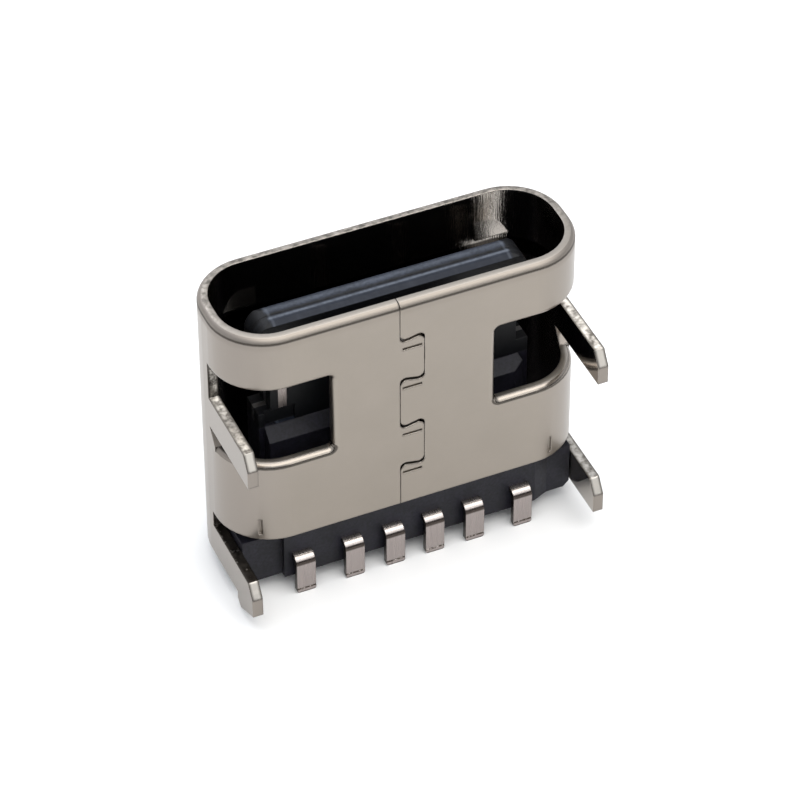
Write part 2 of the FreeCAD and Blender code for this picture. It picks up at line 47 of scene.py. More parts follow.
# Places on the CAD model that the finishes need.
FLOOR_Z = CAD_BOX[0].z
BOARD_FACE_Y = -1.53 * MM
RIM_Z = -0.35 * MM
ROUND_ENDS_X = (3.0 * MM, 4.1 * MM)
FAR_RIM_Y = (-1.0 * MM, 0.6 * MM)
BELOW_DIMPLES_Z = -1.6 * MM
WINDOW_FOOT_Z = -3.65 * MM
LEG_TOP_Z = -2.46 * MM
LEG_INNER_X = 4.1 * MM
LEG_MIDDLE_X = 4.295 * MM
REAR_LEGS_Z = -6.2 * MM
TAIL_LINE_Z = -7.73 * MM
TAIL_END_Z = -7.85 * MM
TONGUE_CORNER_X = 2.88 * MM
GATE_MARK = (2.25 * MM, -1.42 * MM, -6.50 * MM)

# How much of an axis is in a face's direction: along it, on a contact's side, partly upwards,
# on the slope of a rounded edge, nearly level on top of it, and over a contact's bend. A pair
# is where a mask begins and is full.
ALONG = 0.9
SIDEWAYS = 0.7
UPWARDS = 0.3
SLOPED = (0.1, 0.3)
LEVEL = (0.75, 0.9)
BENT = (0.55, 0.75)
# An inner wall's direction, multiplied by its way out from the middle, is below this.
INWARD = -0.2 * MM

# The noise values at which pits, mottle and the painted shade between the light specks on
# the left rear leg's edge begin and are full, and the products of grain and flow at which the
# plastic's lighter patches do.
PITTED = (0.34, 0.62)
MOTTLED = (0.35, 0.65)
SPECKED = (0.78, 0.62)
PATCHED = (0.14, 0.38)
# The even near rim, between the dull grains of the mottle at 0 and the bright ones at 1.
EVEN = 0.75

# Noise drawn out into the rolls' lines along the mouth's axis, and into a strip's streaks.
ROLLED_LINES = (1, 1, 0.06)
STRIP_STREAKS = (1, 0.05, 0.05)
# The legs' free edges are broken this many times as far as the shell's other edges.
LEG_BREAK = 1.6

# The soft lights: name, direction from the socket, side of the square, colour.
LIGHTS = (
    ("key", (0.1, -0.3, 0.95), 0.36, "#fffcf8"),
    ("back", (-0.2, 0.75, 0.62), 0.22, "#f4f7ff"),
    ("front", (0.3, -0.85, 0.5), 0.12, "#fffdfa"),
)
LIGHT_DISTANCE = 0.35

# The tent's open front begins and is full at these values of the direction's y.
FRONT_Y = (-0.1, -0.45)
# The middle of the picture, measured right and up from the board's face below the mouth.
AIM_RIGHT = -0.340 * MM
AIM_UP = -2.187 * MM
SENSOR_WIDTH = 36

# Kinds of node. Sockets go by number where their names repeat. Map Range: 0 the value, 1 and
# 2 from, 3 and 4 to. Mix: 0 the factor, 2 and 3 numbers, 6 and 7 colours, whose result is 2.
MATH = "ShaderNodeMath"
VECTOR = "ShaderNodeVectorMath"
RANGE = "ShaderNodeMapRange"
MIX = "ShaderNodeMix"
SPLIT = "ShaderNodeSeparateXYZ"


def linear(colour):
    """A #rrggbb colour as linear RGBA, by the sRGB curve."""
    parts = np.array([int(colour[i:i + 2], 16) for i in (1, 3, 5)]) / 255
    light = np.where(parts <= 0.04045, parts / 12.92, ((parts + 0.055) / 1.055) ** 2.4)
    return (*map(float, light), 1.0)


def in_light(colour):
    """A colour property, which is held in sRGB, as linear RGBA."""
    return linear("#" + "".join("%02x" % round(255 * part) for part in colour[:3]))


def add(tree, kind, inputs=None, out=0, **settings):
    """Adds a node with its settings, links or sets its inputs, and gives one output if any."""
    node = tree.nodes.new(kind)
    for name, value in settings.items():
        setattr(node, name, value)
    for name, value in (inputs or {}).items():
        if isinstance(value, bpy.types.NodeSocket):
            tree.links.new(value, node.inputs[name])
        else:
            node.inputs[name].default_value = value
    return node.outputs[out] if len(node.outputs) else None


def new_material(name):
    """An empty node material, its tree, and the piece's own coordinates in metres."""
    material = bpy.data.materials.new(name)
    material.use_nodes = True
    tree = material.node_tree
    tree.nodes.clear()
    return material, tree, add(tree, "ShaderNodeTexCoord", out="Object")


def cloud(tree, place, width, detail=3.0, stretch=(1, 1, 1)):
    """Noise whose marks are about one width across, and drawn out where the stretch is below 1."""
    mapped = add(tree, "ShaderNodeMapping", {"Vector": place, "Scale": stretch})
    return add(tree, "ShaderNodeTexNoise", {
        "Vector": mapped, "Scale": 1 / width, "Detail": detail, "Roughness": 0.6})


def band(tree, value, middle, half_width, soft):
    """1 within half a width of the middle, falling to nought over a soft edge on each side."""
    away = add(tree, MATH, {0: value, 1: middle}, operation="SUBTRACT")
    away = add(tree, MATH, {0: away}, operation="ABSOLUTE")
    return add(tree, RANGE, {0: away, 1: half_width + soft, 2: half_width})


def painted(tree, colour, layers):
    """A colour with layers of other colours over it, each as far as its mask says."""
    for mask, shade in layers:
        colour = add(tree, MIX, {0: mask, 6: colour, 7: shade}, out=2, data_type="RGBA")
    return colour


def shoulder(tree, edge, high):
    """1 on the part of a rounded edge that looks a little upwards, and 0 elsewhere.

    The upward part of the edge's direction goes from nought to one across the round, and
    the shoulder is where it lies between about 0.1 and the high value.
    """
    lean = add(tree, SPLIT, {0: edge}, out="Z")
    above = add(tree, RANGE, {0: lean, 1: 0.08, 2: 0.16})
    below = add(tree, RANGE, {0: lean, 1: high, 2: high - 0.12})
    return add(tree, MATH, {0: above, 1: below}, operation="MULTIPLY")


def shell_faces(tree, place):
    """Masks of the folded sheet's faces by name, each 1 on its own faces and 0 elsewhere."""
    x, y, z = add(tree, SPLIT, {0: place}).node.outputs
    looks = add(tree, "ShaderNodeNewGeometry", out="True Normal")
    _, ahead, rise = add(tree, SPLIT, {0: looks}).node.outputs
    reach = add(tree, MATH, {0: x}, operation="ABSOLUTE")

    # A face cut across the sheet looks along the mouth's axis. A wall looks inwards where
    # its direction and the place's own way out from that axis are opposed. The cavity's
    # walls end at the board's face, and the legs' inner sides are past it.
    upright = add(tree, MATH, {0: rise}, operation="ABSOLUTE")
    cut = add(tree, MATH, {0: upright, 1: ALONG}, operation="GREATER_THAN")
    outwards = add(tree, VECTOR, {0: place, 1: (1, 1, 0)}, operation="MULTIPLY")
    facing = add(tree, VECTOR, {0: looks, 1: outwards}, out="Value", operation="DOT_PRODUCT")
    inward = add(tree, MATH, {0: facing, 1: INWARD}, operation="LESS_THAN")
    past = add(tree, MATH, {0: y, 1: BOARD_FACE_Y}, operation="LESS_THAN")
    cavity = add(tree, MATH, {0: inward, 1: past}, operation="GREATER_THAN")

    # A leg's edge looks upwards and is past the board's face, or it is the upper edge of a
    # front or a rear leg. Its root is the narrow face beside a window's upper corner, which
    # looks at the board.
    outer = add(tree, MATH, {0: reach, 1: LEG_INNER_X}, operation="GREATER_THAN")
    upwards = add(tree, MATH, {0: rise, 1: UPWARDS}, operation="GREATER_THAN")
    top = add(tree, MATH, {0: z, 1: LEG_TOP_Z, 2: 0.03 * MM}, operation="COMPARE")
    rear = add(tree, MATH, {0: z, 1: REAR_LEGS_Z}, operation="LESS_THAN")
    rear = add(tree, MATH, {0: rear, 1: outer}, operation="MULTIPLY")
    leg = add(tree, MATH, {0: top, 1: rear}, operation="MAXIMUM")
    leg = add(tree, MATH, {0: leg, 1: past}, operation="MAXIMUM")
    leg = add(tree, MATH, {0: leg, 1: upwards}, operation="MULTIPLY")
    within = add(tree, MATH, {0: y, 1: BOARD_FACE_Y}, operation="GREATER_THAN")
    root = add(tree, MATH, {0: ahead, 1: -ALONG}, operation="LESS_THAN")
    root = add(tree, MATH, {0: root, 1: outer}, operation="MULTIPLY")
    root = add(tree, MATH, {0: root, 1: within}, operation="MULTIPLY")

    # At the foot of the left window, painted shade darkens the level top of the round edge
    # beside the leg, and painted shade standing for the dark housing it mirrors darkens the
    # upper edge of the left rear leg.
    left = add(tree, MATH, {0: x, 1: -LEG_INNER_X}, operation="LESS_THAN")
    sloped = add(tree, RANGE, {0: rise, 1: SLOPED[0], 2: SLOPED[1]})
    foot = band(tree, z, WINDOW_FOOT_Z, 0.25 * MM, 0.01 * MM)
    foot = add(tree, MATH, {0: foot, 1: left}, operation="MULTIPLY")
    foot = add(tree, MATH, {0: foot, 1: sloped}, operation="MULTIPLY")
    shadowed = add(tree, RANGE, {0: rise, 1: LEVEL[0], 2: LEVEL[1]})
    shadowed = add(tree, MATH, {0: shadowed, 1: foot}, operation="MULTIPLY")
    leg_shade = add(tree, MATH, {0: left, 1: rear}, operation="MULTIPLY")
    leg_shade = add(tree, MATH, {0: leg_shade, 1: cut}, operation="MULTIPLY")

    # Painted shade: the walls below the dimples and the left dimple are darkened.
    # The photo shows the walls below the dimples and the left dimple nearly black.
    below = band(tree, z, BELOW_DIMPLES_Z, 0.18 * MM, 0.06 * MM)
    dimple_shade = add(tree, MATH, {0: x, 1: 0}, operation="LESS_THAN")
    dimple_shade = add(tree, MATH, {0: dimple_shade, 1: sloped}, operation="MULTIPLY")
    dimple_shade = add(tree, MATH, {0: dimple_shade, 1: below}, operation="MAXIMUM")

    return {
        "cut": cut, "inward": inward, "cavity": cavity, "top": top, "leg": leg, "root": root,
        "sloped": sloped, "foot": foot, "shadowed": shadowed, "leg_shade": leg_shade, "dimple_shade": dimple_shade,
        "core": band(tree, reach, LEG_MIDDLE_X, 0.06 * MM, 0.06 * MM),
        "beyond": add(tree, RANGE, {0: y, 1: BOARD_FACE_Y, 2: BOARD_FACE_Y - 0.1 * MM}),
        "far": add(tree, RANGE, {0: y, 1: FAR_RIM_Y[0], 2: FAR_RIM_Y[1]}),
        "ends": add(tree, RANGE, {0: reach, 1: ROUND_ENDS_X[0], 2: ROUND_ENDS_X[1]}),
        "rim": add(tree, RANGE, {0: z, 1: RIM_Z, 2: RIM_Z + 0.1 * MM}),
    }


def shell_wear(tree, place, finish, faces):
    """Marks that the shell's colour, roughness and relief share, by name."""
    # Tumbling breaks every edge, and the legs' free edges the most.
    radius = add(tree, MIX, {
        0: faces["beyond"], 2: finish.broken_edge, 3: LEG_BREAK * finish.broken_edge})
    edge = add(tree, "ShaderNodeBevel", {"Radius": radius}, samples=6)
    grain = cloud(tree, place, finish.grain_width, stretch=ROLLED_LINES)
    pit = cloud(tree, place, finish.pit_width, detail=2.0)

    # Pits lie along the middle of the legs' edges and roots, and their cut corners are clean.
    rugged = add(tree, MATH, {0: faces["cut"], 1: faces["root"]}, operation="MAXIMUM")
    clean = add(tree, RANGE, {0: rugged, 3: 0.9, 4: 0.0})
    pits = add(tree, RANGE, {0: pit, 1: PITTED[0], 2: PITTED[1]})
    pits = add(tree, MATH, {0: pits, 1: clean}, operation="MAXIMUM")
    pits = add(tree, MATH, {0: pits, 1: faces["core"]}, operation="MULTIPLY")

    # The far rim is mottled and the near one even.
    mottle = add(tree, RANGE, {0: pit, 1: MOTTLED[0], 2: MOTTLED[1]})
    mottle = add(tree, MIX, {0: faces["far"], 2: EVEN, 3: mottle})

    # Painted shade: below the highlight on the shoulders of the outer edges, on the top of the
    # left window's foot, and on the left rear leg's upper edge but for its specks.
    whole = add(tree, MATH, {0: faces["inward"], 1: faces["foot"]}, operation="MAXIMUM")
    whole = add(tree, MATH, {0: 1, 1: whole}, operation="SUBTRACT")
    shaded = add(tree, MATH, {
        0: shoulder(tree, edge, finish.shoulder), 1: finish.shade_strength}, operation="MULTIPLY")
    shaded = add(tree, MATH, {0: shaded, 1: whole}, operation="MULTIPLY")
    specked_leg_shade = add(tree, RANGE, {0: pit, 1: SPECKED[0], 2: SPECKED[1]})
    specked_leg_shade = add(tree, MATH, {0: specked_leg_shade, 1: faces["leg_shade"]}, operation="MULTIPLY")
    shaded = add(tree, MATH, {0: shaded, 1: faces["shadowed"]}, operation="MAXIMUM")
    shaded = add(tree, MATH, {0: shaded, 1: specked_leg_shade}, operation="MAXIMUM")
    return {"edge": edge, "grain": grain, "pits": pits, "mottle": mottle, "shaded": shaded}


def shell_colour(tree, place, finish, faces, wear):
    """The rolled faces, then the inner walls, cut faces, legs' edges, roots and painted shade."""
    haze = cloud(tree, place, finish.cloud_width, detail=4.0)
    pit, burnish = in_light(finish.pit), in_light(finish.burnish)
    dark, light = in_light(finish.edge_dark), in_light(finish.edge_light)
    rooted = add(tree, MATH, {0: faces["core"], 1: wear["pits"]}, operation="MULTIPLY")
    return painted(tree, in_light(finish.face_dark), (
        (haze, in_light(finish.face_light)),
        # Painted shade on the round ends.
        (faces["ends"], in_light(finish.end_shade)),
        # Painted shade below the dimples and on the left dimple.
        (faces["inward"], painted(tree, in_light(finish.inner), ((faces["dimple_shade"], pit),))),
        (faces["cut"], painted(tree, dark, ((wear["mottle"], light),))),
        (faces["leg"], painted(tree, dark, ((wear["pits"], burnish),))),
        # Painted shade on the roots, with burnished pits along their middle.
        (faces["root"], painted(tree, pit, ((rooted, burnish),))),
        # Painted shade on the shoulders, the left window's foot and the left rear leg's edge.
        (wear["shaded"], pit),
    ))


def shell_roughness(tree, finish, faces, wear):
    """Satin outside and polished inside, with its own value for each kind of edge."""
    satin = finish.outer_rough
    rough = add(tree, RANGE, {
        0: wear["grain"], 3: satin + finish.rough_spread, 4: satin - finish.rough_spread})
    layers = (
        ("sloped", add(tree, RANGE, {
            0: wear["mottle"], 3: finish.bead_rough_high, 4: finish.bead_rough_low})),
        ("foot", finish.torn_rough),
        ("inward", add(tree, MIX, {
            0: faces["sloped"], 2: finish.inner_rough, 3: finish.cut_rough})),
        ("cut", finish.cut_rough),
        ("rim", add(tree, MIX, {0: faces["inward"], 2: finish.rim_rough, 3: finish.inner_rough})),
        ("leg", add(tree, RANGE, {0: wear["pits"], 3: finish.pit_rough, 4: finish.burnish_rough})),
    )
    for name, value in layers:
        rough = add(tree, MIX, {0: faces[name], 2: rough, 3: value})
    return rough


def shell_relief(tree, finish, faces, wear):
    """Lines of the rolls, strongest in the cavity, and pits on the cut faces and the legs."""
    height = add(tree, MIX, {0: faces["cut"], 2: wear["grain"], 3: wear["pits"]})
    strength = finish.grain_relief
    layers = (
        ("cavity", finish.drawn_relief), ("cut", finish.cut_relief), ("leg", finish.pit_relief))
    for name, value in layers:
        strength = add(tree, MIX, {0: faces[name], 2: strength, 3: value})
    # The front legs' upper edges were rolled over towards the board.
    rolled = add(tree, MATH, {0: faces["leg"], 1: faces["top"]}, operation="MULTIPLY")
    tilt = add(tree, VECTOR, {
        0: (0, -finish.roll_over, 0), 1: rolled, 2: wear["edge"]}, operation="MULTIPLY_ADD")
    tilt = add(tree, VECTOR, {0: tilt}, operation="NORMALIZE")
    return add(tree, "ShaderNodeBump", {
        "Height": height, "Strength": strength, "Distance": finish.relief_depth, "Normal": tilt})


# Nickel-plated cold-rolled steel. The outside is satin and slightly warm, with cloudy
# handling marks, and painted shade makes the round ends darker and cooler. The inside is
# brighter drawn metal with fine lines along the mouth, so it mirrors the dark cavity. Faces
# cut across the sheet are sheared. The legs' edges are burnished by the die, rolled over
# towards the board and pitted. Every outer edge has painted shade on its shoulder, below its
# highlight, and painted shade also darkens the legs' roots, the walls below the dimples, the
# left dimple, the top of the left window's foot and the left rear leg's upper edge.
# The lines of the rolls are drawn several times too coarse, so that they show at all.
def nickel_sheet(finish):
    material, tree, place = new_material("nickel_plated_rolled_steel")
    faces = shell_faces(tree, place)
    wear = shell_wear(tree, place, finish, faces)
    shader = add(tree, "ShaderNodeBsdfPrincipled", {
        "Base Color": shell_colour(tree, place, finish, faces, wear), "Metallic": 1.0,
        "Roughness": shell_roughness(tree, finish, faces, wear),
        "Normal": shell_relief(tree, finish, faces, wear)})
    add(tree, "ShaderNodeOutputMaterial", {"Surface": shader})
    return material


# Nickel plate over a strip of copper alloy, plated before it was stamped: a little pinker
# than the shell, with faint streaks along the strip and a painted highlight over each bend.
# The cut sides are bare alloy, darkened further with painted shade, and painted shade lies in
# the line coined across each tail, along each tail's end and on the shoulders of the edges.
# The streaks are drawn several times too coarse, so that they show at all.
def plated_strip(finish):
    material, tree, place = new_material("nickel_plated_copper_strip")
    looks = add(tree, "ShaderNodeNewGeometry", out="True Normal")
    across = add(tree, MATH, {0: add(tree, SPLIT, {0: looks}, out="X")}, operation="ABSOLUTE")
    z = add(tree, SPLIT, {0: place}, out="Z")
    edge = add(tree, "ShaderNodeBevel", {"Radius": finish.broken_edge}, samples=6)
    streak = cloud(tree, place, finish.streak_width, detail=0.0, stretch=STRIP_STREAKS)
    speck = cloud(tree, place, finish.streak_width, detail=2.0)

    # The bare alloy of the cut sides, darkened further with painted shade, and painted shade in
    # the coined line, along the tail's end and on the shoulders.
    bare = add(tree, MATH, {0: across, 1: SIDEWAYS}, operation="GREATER_THAN")
    line = add(tree, MATH, {
        0: band(tree, z, TAIL_LINE_Z, 0.018 * MM, 0.012 * MM),
        1: add(tree, RANGE, {0: speck, 1: 0.35, 2: 0.5})}, operation="MULTIPLY")
    tip = band(tree, z, TAIL_END_Z, 0.015 * MM, 0.015 * MM)
    shaded = add(tree, MATH, {
        0: shoulder(tree, edge, finish.shoulder), 1: finish.shade_strength}, operation="MULTIPLY")
    for mark in (line, tip, shaded):
        bare = add(tree, MATH, {0: bare, 1: mark}, operation="MAXIMUM")
    # Painted highlight over the outside of each bend.
    rise = add(tree, SPLIT, {0: edge}, out="Z")
    bend_highlight = add(tree, RANGE, {0: rise, 1: BENT[0], 2: BENT[1]})

    shader = add(tree, "ShaderNodeBsdfPrincipled", {
        "Base Color": painted(tree, in_light(finish.shade), (
            (streak, in_light(finish.flat)),
            (bend_highlight, in_light(finish.bend)),
            (bare, in_light(finish.cut_side_and_shade)))),
        "Metallic": 1.0,
        "Roughness": add(tree, RANGE, {0: streak, 3: finish.rough_high, 4: finish.rough_low}),
        "Normal": add(tree, "ShaderNodeBump", {
            "Height": streak, "Strength": finish.relief, "Distance": finish.relief_depth,
            "Normal": edge})})
    add(tree, "ShaderNodeOutputMaterial", {"Surface": shader})
    return material


# Bare cold-rolled steel, grey, with a fine grain like the shell's. Hardly any of it shows.
def bare_steel():
    material, tree, place = new_material("bare_rolled_steel")
    grain = cloud(tree, place, 0.05 * MM)
    shader = add(tree, "ShaderNodeBsdfPrincipled", {
        "Base Color": painted(tree, linear("#6b6b6d"), ((grain, linear("#88888a")),)),
        "Metallic": 1.0, "Roughness": add(tree, RANGE, {0: grain, 3: 0.5, 4: 0.3})})
    add(tree, "ShaderNodeOutputMaterial", {"Surface": shader})
    return material


# Glass-filled liquid crystal polymer, moulded: near black and slightly blue, with a fine
# grain, faint flow clouds and a soft sheen. The grain is drawn several times too coarse, so
# that it shows at all.
def polymer(name, light, dark, finish, marks):
    material, tree, place = new_material(name)
    grain = cloud(tree, place, finish.grain_width, detail=4.0)
    flow = cloud(tree, place, finish.flow_width)
    patches = add(tree, MATH, {0: grain, 1: flow}, operation="MULTIPLY")
    patches = add(tree, RANGE, {0: patches, 1: PATCHED[0], 2: PATCHED[1]})
    colour = painted(tree, in_light(dark), ((patches, in_light(light)),))
    edge = add(tree, "ShaderNodeBevel", {"Radius": finish.soft_edge}, samples=4)
    shader = add(tree, "ShaderNodeBsdfPrincipled", {
        "Base Color": painted(tree, colour, marks(tree, place, finish)),
        "Roughness": add(tree, RANGE, {0: grain, 3: finish.rough_high, 4: finish.rough_low}),
        "Normal": add(tree, "ShaderNodeBump", {
            "Height": grain, "Strength": finish.relief, "Distance": finish.relief_depth,
            "Normal": edge})})
    shader.node.inputs["IOR"].default_value = finish.ior
    shader.node.inputs["Specular IOR Level"].default_value = finish.gloss
    add(tree, "ShaderNodeOutputMaterial", {"Surface": shader})
    return material


def gate_mark(tree, place, finish):
    """A pale speck on the housing's front, where the moulding was parted from its gate."""
    away = add(tree, VECTOR, {0: place, 1: GATE_MARK}, out="Value", operation="DISTANCE")
    speck = add(tree, RANGE, {0: away, 1: 0.10 * MM, 2: 0.06 * MM, 4: 0.6})
    return ((speck, in_light(finish.pale_and_highlight)),)


def tongue_marks(tree, place, finish):
    """The tongue's end: a parting line, a pale band, painted shade and painted highlights."""
    x, y, _ = add(tree, SPLIT, {0: place}).node.outputs
    reach = add(tree, MATH, {0: x}, operation="ABSOLUTE")
    patchy = cloud(tree, place, 2 * finish.grain_width)
    patchy = add(tree, RANGE, {0: patchy, 1: 0.35, 2: 0.6, 3: 0.6})
    # The parting line, a lighter band on the upper half, painted shade on the bevel, a painted
    # highlight beside it, and painted highlights at the corners.
    lines = (
        (band(tree, y, 0.0, 0.025 * MM, 0.06 * MM), 1.0, finish.side),
        (band(tree, y, 0.2 * MM, 0.05 * MM, 0.07 * MM), 0.35, finish.pale_and_highlight),
        (add(tree, RANGE, {0: y, 1: -0.14 * MM, 2: -0.20 * MM}), 1.0, finish.nose),
        (band(tree, y, -0.11 * MM, 0.015 * MM, 0.035 * MM), 0.8, finish.pale_and_highlight),
        (band(tree, reach, TONGUE_CORNER_X, 0.015 * MM, 0.03 * MM), 0.3, finish.pale_and_highlight),
    )
    layers = []
    for line, amount, shade in lines:
        mask = add(tree, MATH, {0: line, 1: patchy}, operation="MULTIPLY")
        mask = add(tree, MATH, {0: mask, 1: amount}, operation="MULTIPLY")
        layers.append((mask, in_light(shade)))
    # Painted shade on the sides, and on the far part of each corner's round.
    looks = add(tree, "ShaderNodeNewGeometry", out="True Normal")
    rise = add(tree, SPLIT, {0: looks}, out="Z")
    side = add(tree, RANGE, {0: rise, 1: 0.5, 2: 0.1})
    corner = add(tree, RANGE, {
        0: reach, 1: TONGUE_CORNER_X + 0.03 * MM, 2: TONGUE_CORNER_X + 0.09 * MM, 4: 0.95})
    side = add(tree, MATH, {0: side, 1: corner}, operation="MAXIMUM")
    return (*layers, (side, in_light(finish.side)))


def hex_property(name, description, colour):
    """A colour property, held in sRGB, whose default is a hex value."""
    return FloatVectorProperty(
        name=name, description=description, size=3, min=0, max=1, subtype="COLOR_GAMMA",
        default=tuple(int(colour[i:i + 2], 16) / 255 for i in (1, 3, 5)))


def number(name, description, default):
    """A plain number property that isn't negative."""
    return FloatProperty(name=name, description=description, default=default, min=0)


def length(name, description, default):
    """A length property, in metres and with room for hundredths of a millimetre."""
    return FloatProperty(
        name=name, description=description, default=default, min=0, unit="LENGTH", precision=6)


class ShellFinish(bpy.types.PropertyGroup):
    """Colours, gloss and pattern sizes of the nickel-plated shell."""
    face_light: hex_property("Face, light", "Light areas of the rolled face", "#9a9289")
    face_dark: hex_property("Face, dark", "Clouded areas of the rolled face", "#918a81")
    # Painted shade on the round ends, darker and cooler than the face.
    end_shade: hex_property("Rolled end", "Ends where the sheet was rolled round", "#8b847d")
    inner: hex_property("Inside", "The drawn inner walls", "#b1aba4")
    edge_light: hex_property("Edge, light", "Bright grains of the sheared edges", "#b0a9a0")
    edge_dark: hex_property("Edge, dark", "Dull grains of the sheared edges", "#6c6761")
    burnish: hex_property("Burnish", "Burnished parts of the legs' edges", "#c8c3bb")
    # Also the painted shade on shoulders, roots, dimples, the left window's foot and a rear leg.
    pit: hex_property("Pit", "Pits and thin plating", "#3b3733")
    # Strength of the painted shade on the round edges' shoulders.
    shade_strength: number("Dullness", "How dull the shoulders of the edges are", 0.85)
    shoulder: number("Shoulder", "How far up a round edge its shoulder reaches", 0.46)
    outer_rough: number("Roughness outside", "Satin of the outer faces", 0.3)
    rough_spread: number("Roughness spread", "How much the satin varies", 0.04)
    inner_rough: number("Roughness inside", "Polish of the inner walls", 0.1)
    bead_rough_high: number("Roughness of beads, high", "Dull grains of the round edges", 0.22)
    bead_rough_low: number("Roughness of beads, low", "Bright grains of the round edges", 0.15)
    torn_rough: number("Roughness, torn", "The torn foot of the left window", 0.6)
    cut_rough: number("Roughness, cut", "The sheared faces and the dimples", 0.35)
    rim_rough: number("Roughness of the rim", "The round outer edge of the mouth", 0.46)
    pit_rough: number("Roughness of pits", "The pits of the legs' edges", 0.5)
    burnish_rough: number("Roughness, burnished", "The clean parts of the legs' edges", 0.28)
    grain_relief: number("Relief of the grain", "Strength of the rolls' lines outside", 0.02)
    drawn_relief: number("Relief inside", "Strength of the lines in the cavity", 0.22)
    cut_relief: number("Relief, cut", "Strength of the pits on the rim", 0.05)
    pit_relief: number("Relief of pits", "Strength of the pits on the legs", 0.12)
    roll_over: number("Roll-over", "How far the front legs' upper edges lean over", 0.3)
    relief_depth: length("Relief depth", "Depth of the relief at full strength", 0.02 * MM)
    grain_width: length("Grain width", "Width of a line left by the rolls", 0.03 * MM)
    cloud_width: length("Cloud width", "Width of a cloudy handling mark", 1.2 * MM)
    pit_width: length("Pit width", "Width of a pit on a sheared edge", 0.16 * MM)
    broken_edge: length("Broken edge", "Radius that tumbling leaves on every edge", 0.05 * MM)


class ContactFinish(bpy.types.PropertyGroup):
    """Colours, gloss and pattern sizes of the plated contacts."""
    flat: hex_property("Flat", "Flats of the plated strip", "#a39a97")
    shade: hex_property("Shade", "Duller areas of the strip", "#99918e")
    # Painted highlight over the outside of each bend.
    bend: hex_property("Bend", "The bright outside of a bend", "#b7b0ab")
    # Bare alloy, darkened further with painted shade; also the strip's other painted shade.
    cut_side_and_shade: hex_property("Cut side", "Bare alloy on the cut sides", "#3a322d")
    # Strength of the painted shade on the shoulders of the bends and edges.
    shade_strength: number("Dullness", "How dull the shoulders of the edges are", 0.9)
    shoulder: number("Shoulder", "How far up a bend its shoulder reaches", 0.62)
    rough_high: number("Roughness, high", "The dull streaks", 0.32)
    rough_low: number("Roughness, low", "The bright streaks", 0.22)
    relief: number("Relief", "Strength of the streaks' relief", 0.004)
    relief_depth: length("Relief depth", "Depth of the relief at full strength", 0.01 * MM)
    streak_width: length("Streak width", "Width of a drawing streak", 0.06 * MM)
    broken_edge: length("Broken edge", "Radius that tumbling leaves on every edge", 0.03 * MM)


class PlasticFinish(bpy.types.PropertyGroup):
    """Colours, gloss and pattern sizes of the moulded black plastic."""
    body: hex_property("Body", "Housing", "#1f1e28")
    body_shade: hex_property("Body, shade", "Darker patches of the housing", "#101015")
    # Painted light: the same polymer as the housing, lighter on the tongue's upward end.
    tongue: hex_property("Tongue", "End of the tongue", "#373c47")
    tongue_shade: hex_property("Tongue, shade", "Darker patches of the tongue's end", "#1c2028")
    # Pale specks and bands, and painted highlights beside the tongue's bevel and at its corners.
    pale_and_highlight: hex_property("Rubbed", "Rubbed lines and specks", "#5f656f")
    # Painted shade on the bevel.
    nose: hex_property("Nose", "The bevel at the tongue's end", "#131925")
    # Painted shade on the tongue's sides; also its dark parting line.
    side: hex_property("Side", "The tongue's sides, and its parting line", "#08090c")
    ior: number("IOR", "Index of refraction of the polymer", 1.45)
    gloss: number("Gloss", "Strength of the plastic's sheen", 0.28)
    rough_high: number("Roughness, high", "The hollows of the grain", 0.55)
    rough_low: number("Roughness, low", "The tops of the grain", 0.36)
    relief: number("Relief", "Strength of the grain's relief", 0.2)
    relief_depth: length("Relief depth", "Depth of the relief at full strength", 0.01 * MM)
    grain_width: length("Grain width", "Width of a grain of the moulded surface", 0.07 * MM)
    flow_width: length("Flow width", "Width of a cloud left by the flow in the mould", 0.6 * MM)
    soft_edge: length("Soft edge", "Radius of the mouldings' edges", 0.03 * MM)


class StageLook(bpy.types.PropertyGroup):
    """The floor, the lights and the camera."""
    floor_colour: hex_property("Floor", "Colour of the plain floor", "#f4f4f3")
    floor_rough: number("Floor roughness", "Roughness of the plain floor", 0.8)
    floor_size: length("Floor size", "Side of the square floor", 4.0)
    tent_colour: hex_property("Tent", "Colour of the white tent", "#f3f6fb")
    dome: number("Walls", "Brightness of the tent's walls at the horizon", 0.85)
    top: number("Top", "Brightness of the tent's top", 1.2)
    dark: number("Opening", "Brightness seen through the tent's open front", 0.05)
    opening: number("Opening height", "Height of the open front, as a sine", 0.26)
    opening_blur: number("Opening blur", "Soft border above the open front, as a sine", 0.08)
    key: number("Key", "Power of the soft light above", 0.95)
    back: number("Back", "Power of the soft light behind", 0.3)
    front: number("Front", "Power of the small soft light in front", 0.06)
    azimuth: FloatProperty(
        name="Azimuth", description="The camera's way round the socket",
        default=math.radians(-23.667), subtype="ANGLE")
    elevation: FloatProperty(
        name="Elevation", description="The camera's height above the horizon",
        default=math.radians(41.828), subtype="ANGLE")
    roll: FloatProperty(
        name="Roll", description="The camera's roll",
        default=math.radians(-0.238), subtype="ANGLE")
    distance: length("Distance", "From the mouth to the camera", 89.027 * MM)
    lens: number("Lens", "Focal length in millimetres", 181.75)


GROUPS = (
    ("socket_shell", ShellFinish),
    ("socket_contacts", ContactFinish),
    ("socket_plastic", PlasticFinish),
    ("socket_stage", StageLook),
)


def dress(node, material):
    """Puts a material on a CAD node's own slot."""
    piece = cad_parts[node]
    piece.data.materials.clear()
    piece.data.materials.append(material)


class SOCKET_OT_shell(bpy.types.Operator):
    """Gives the folded shell its nickel-plated finish"""
    bl_idname = "socket.shell"
    bl_label = "Finish the shell"

    def execute(self, context):
        dress("shell", nickel_sheet(context.scene.socket_shell))
        return {"FINISHED"}


